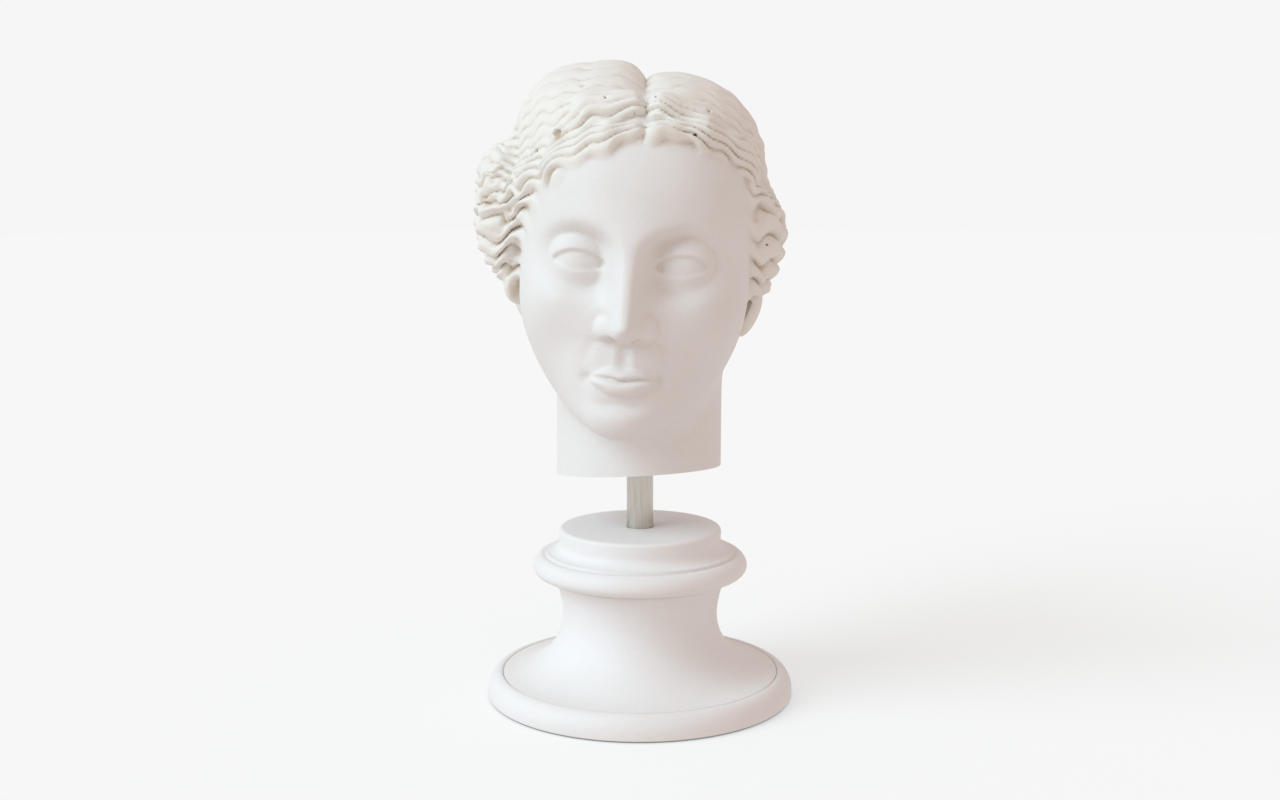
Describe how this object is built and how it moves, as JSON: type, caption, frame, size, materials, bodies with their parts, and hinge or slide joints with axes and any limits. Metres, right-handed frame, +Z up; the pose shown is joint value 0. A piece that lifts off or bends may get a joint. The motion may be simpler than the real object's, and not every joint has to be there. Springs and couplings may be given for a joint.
{
  "type": "bust",
  "caption": "Woman's head in cast stone with wavy parted hair, cut flat at the neck and held by a steel rod above a round turned plinth.",
  "frame": {"origin": "centre of the plinth's underside, on the axis of the plinth and rod", "axes": "+Z up along the axis of the plinth and rod, -Y the way the face looks, +X towards the head's own left"},
  "size_m": [0.152, 0.1749, 0.3027],
  "materials": {
    "head_stone": "matte cast marble powder, warm white",
    "rod_steel": "brushed along its length",
    "plinth_stone": "matte cast marble powder, white"
  },
  "bodies": {
    "root": {"head": "head_stone", "rod": "rod_steel", "plinth": "plinth_stone"}
  },
  "joints": []
}
